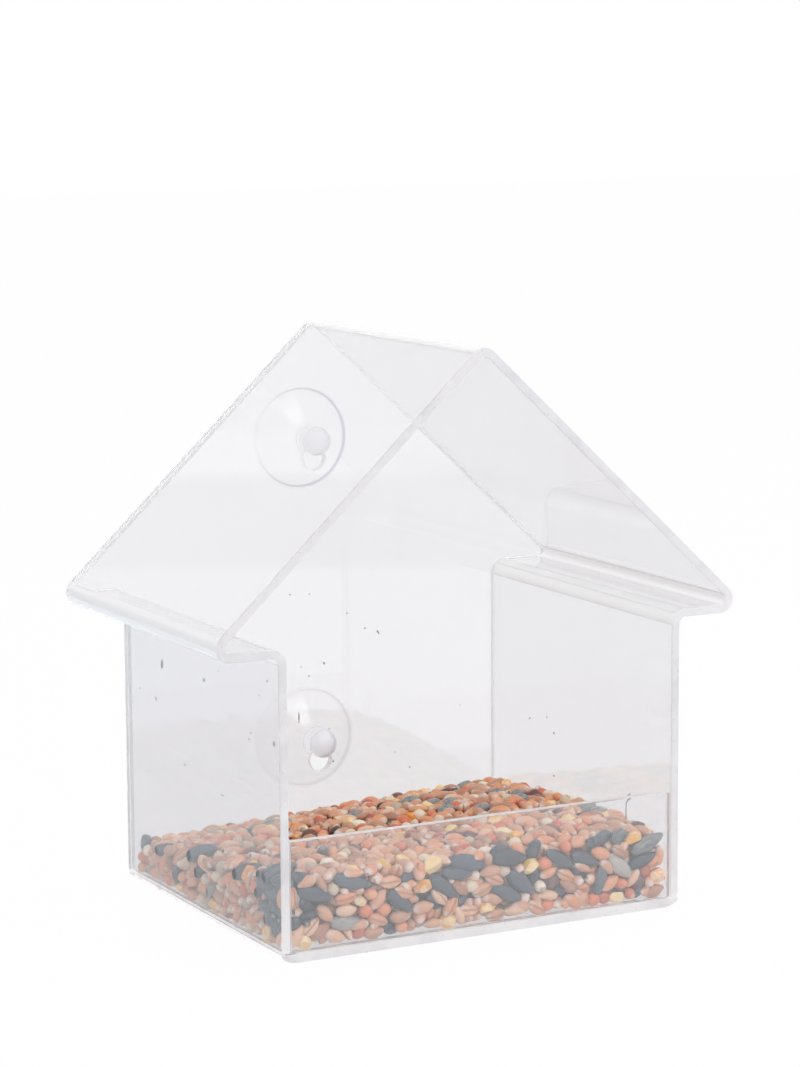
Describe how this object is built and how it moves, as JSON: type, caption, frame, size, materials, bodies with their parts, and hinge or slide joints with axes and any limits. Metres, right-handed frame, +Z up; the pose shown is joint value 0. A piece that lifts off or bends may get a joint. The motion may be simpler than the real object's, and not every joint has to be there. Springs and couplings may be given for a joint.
{
  "type": "window bird feeder",
  "caption": "House-shaped clear acrylic bird feeder with an open front, a low lip that holds seed, and suction cups in keyholes at the back for a window pane.",
  "frame": {"origin": "on the surface that the feeder stands on, in the middle of its width and of its whole depth, suction cups included", "axes": "+Z up, +Y towards the window pane, so the open front faces -Y, +X to the right of someone who looks into the front"},
  "size_m": [0.1544, 0.1084, 0.1559],
  "materials": {
    "clear_acrylic": "clear, polished, slightly hazy",
    "clear_soft_plastic": "clear soft vinyl, glossy",
    "mixed_seed": "dry grains, satin husks"
  },
  "bodies": {
    "house": {"house_shell": "clear_acrylic", "floor_plate": "clear_acrylic", "back_panel": "clear_acrylic", "front_lip": "clear_acrylic", "seed_mix": "mixed_seed"},
    "upper_cup": {"upper_suction_cup": "clear_soft_plastic"},
    "lower_cup": {"lower_suction_cup": "clear_soft_plastic"}
  },
  "joints": [
    {"name": "upper_cup_slide", "type": "slide", "parent": "house", "child": "upper_cup", "axis": [0, 0, -1], "range_m": [0, 0.0057]},
    {"name": "lower_cup_slide", "type": "slide", "parent": "house", "child": "lower_cup", "axis": [0, 0, -1], "range_m": [0, 0.0057]}
  ]
}
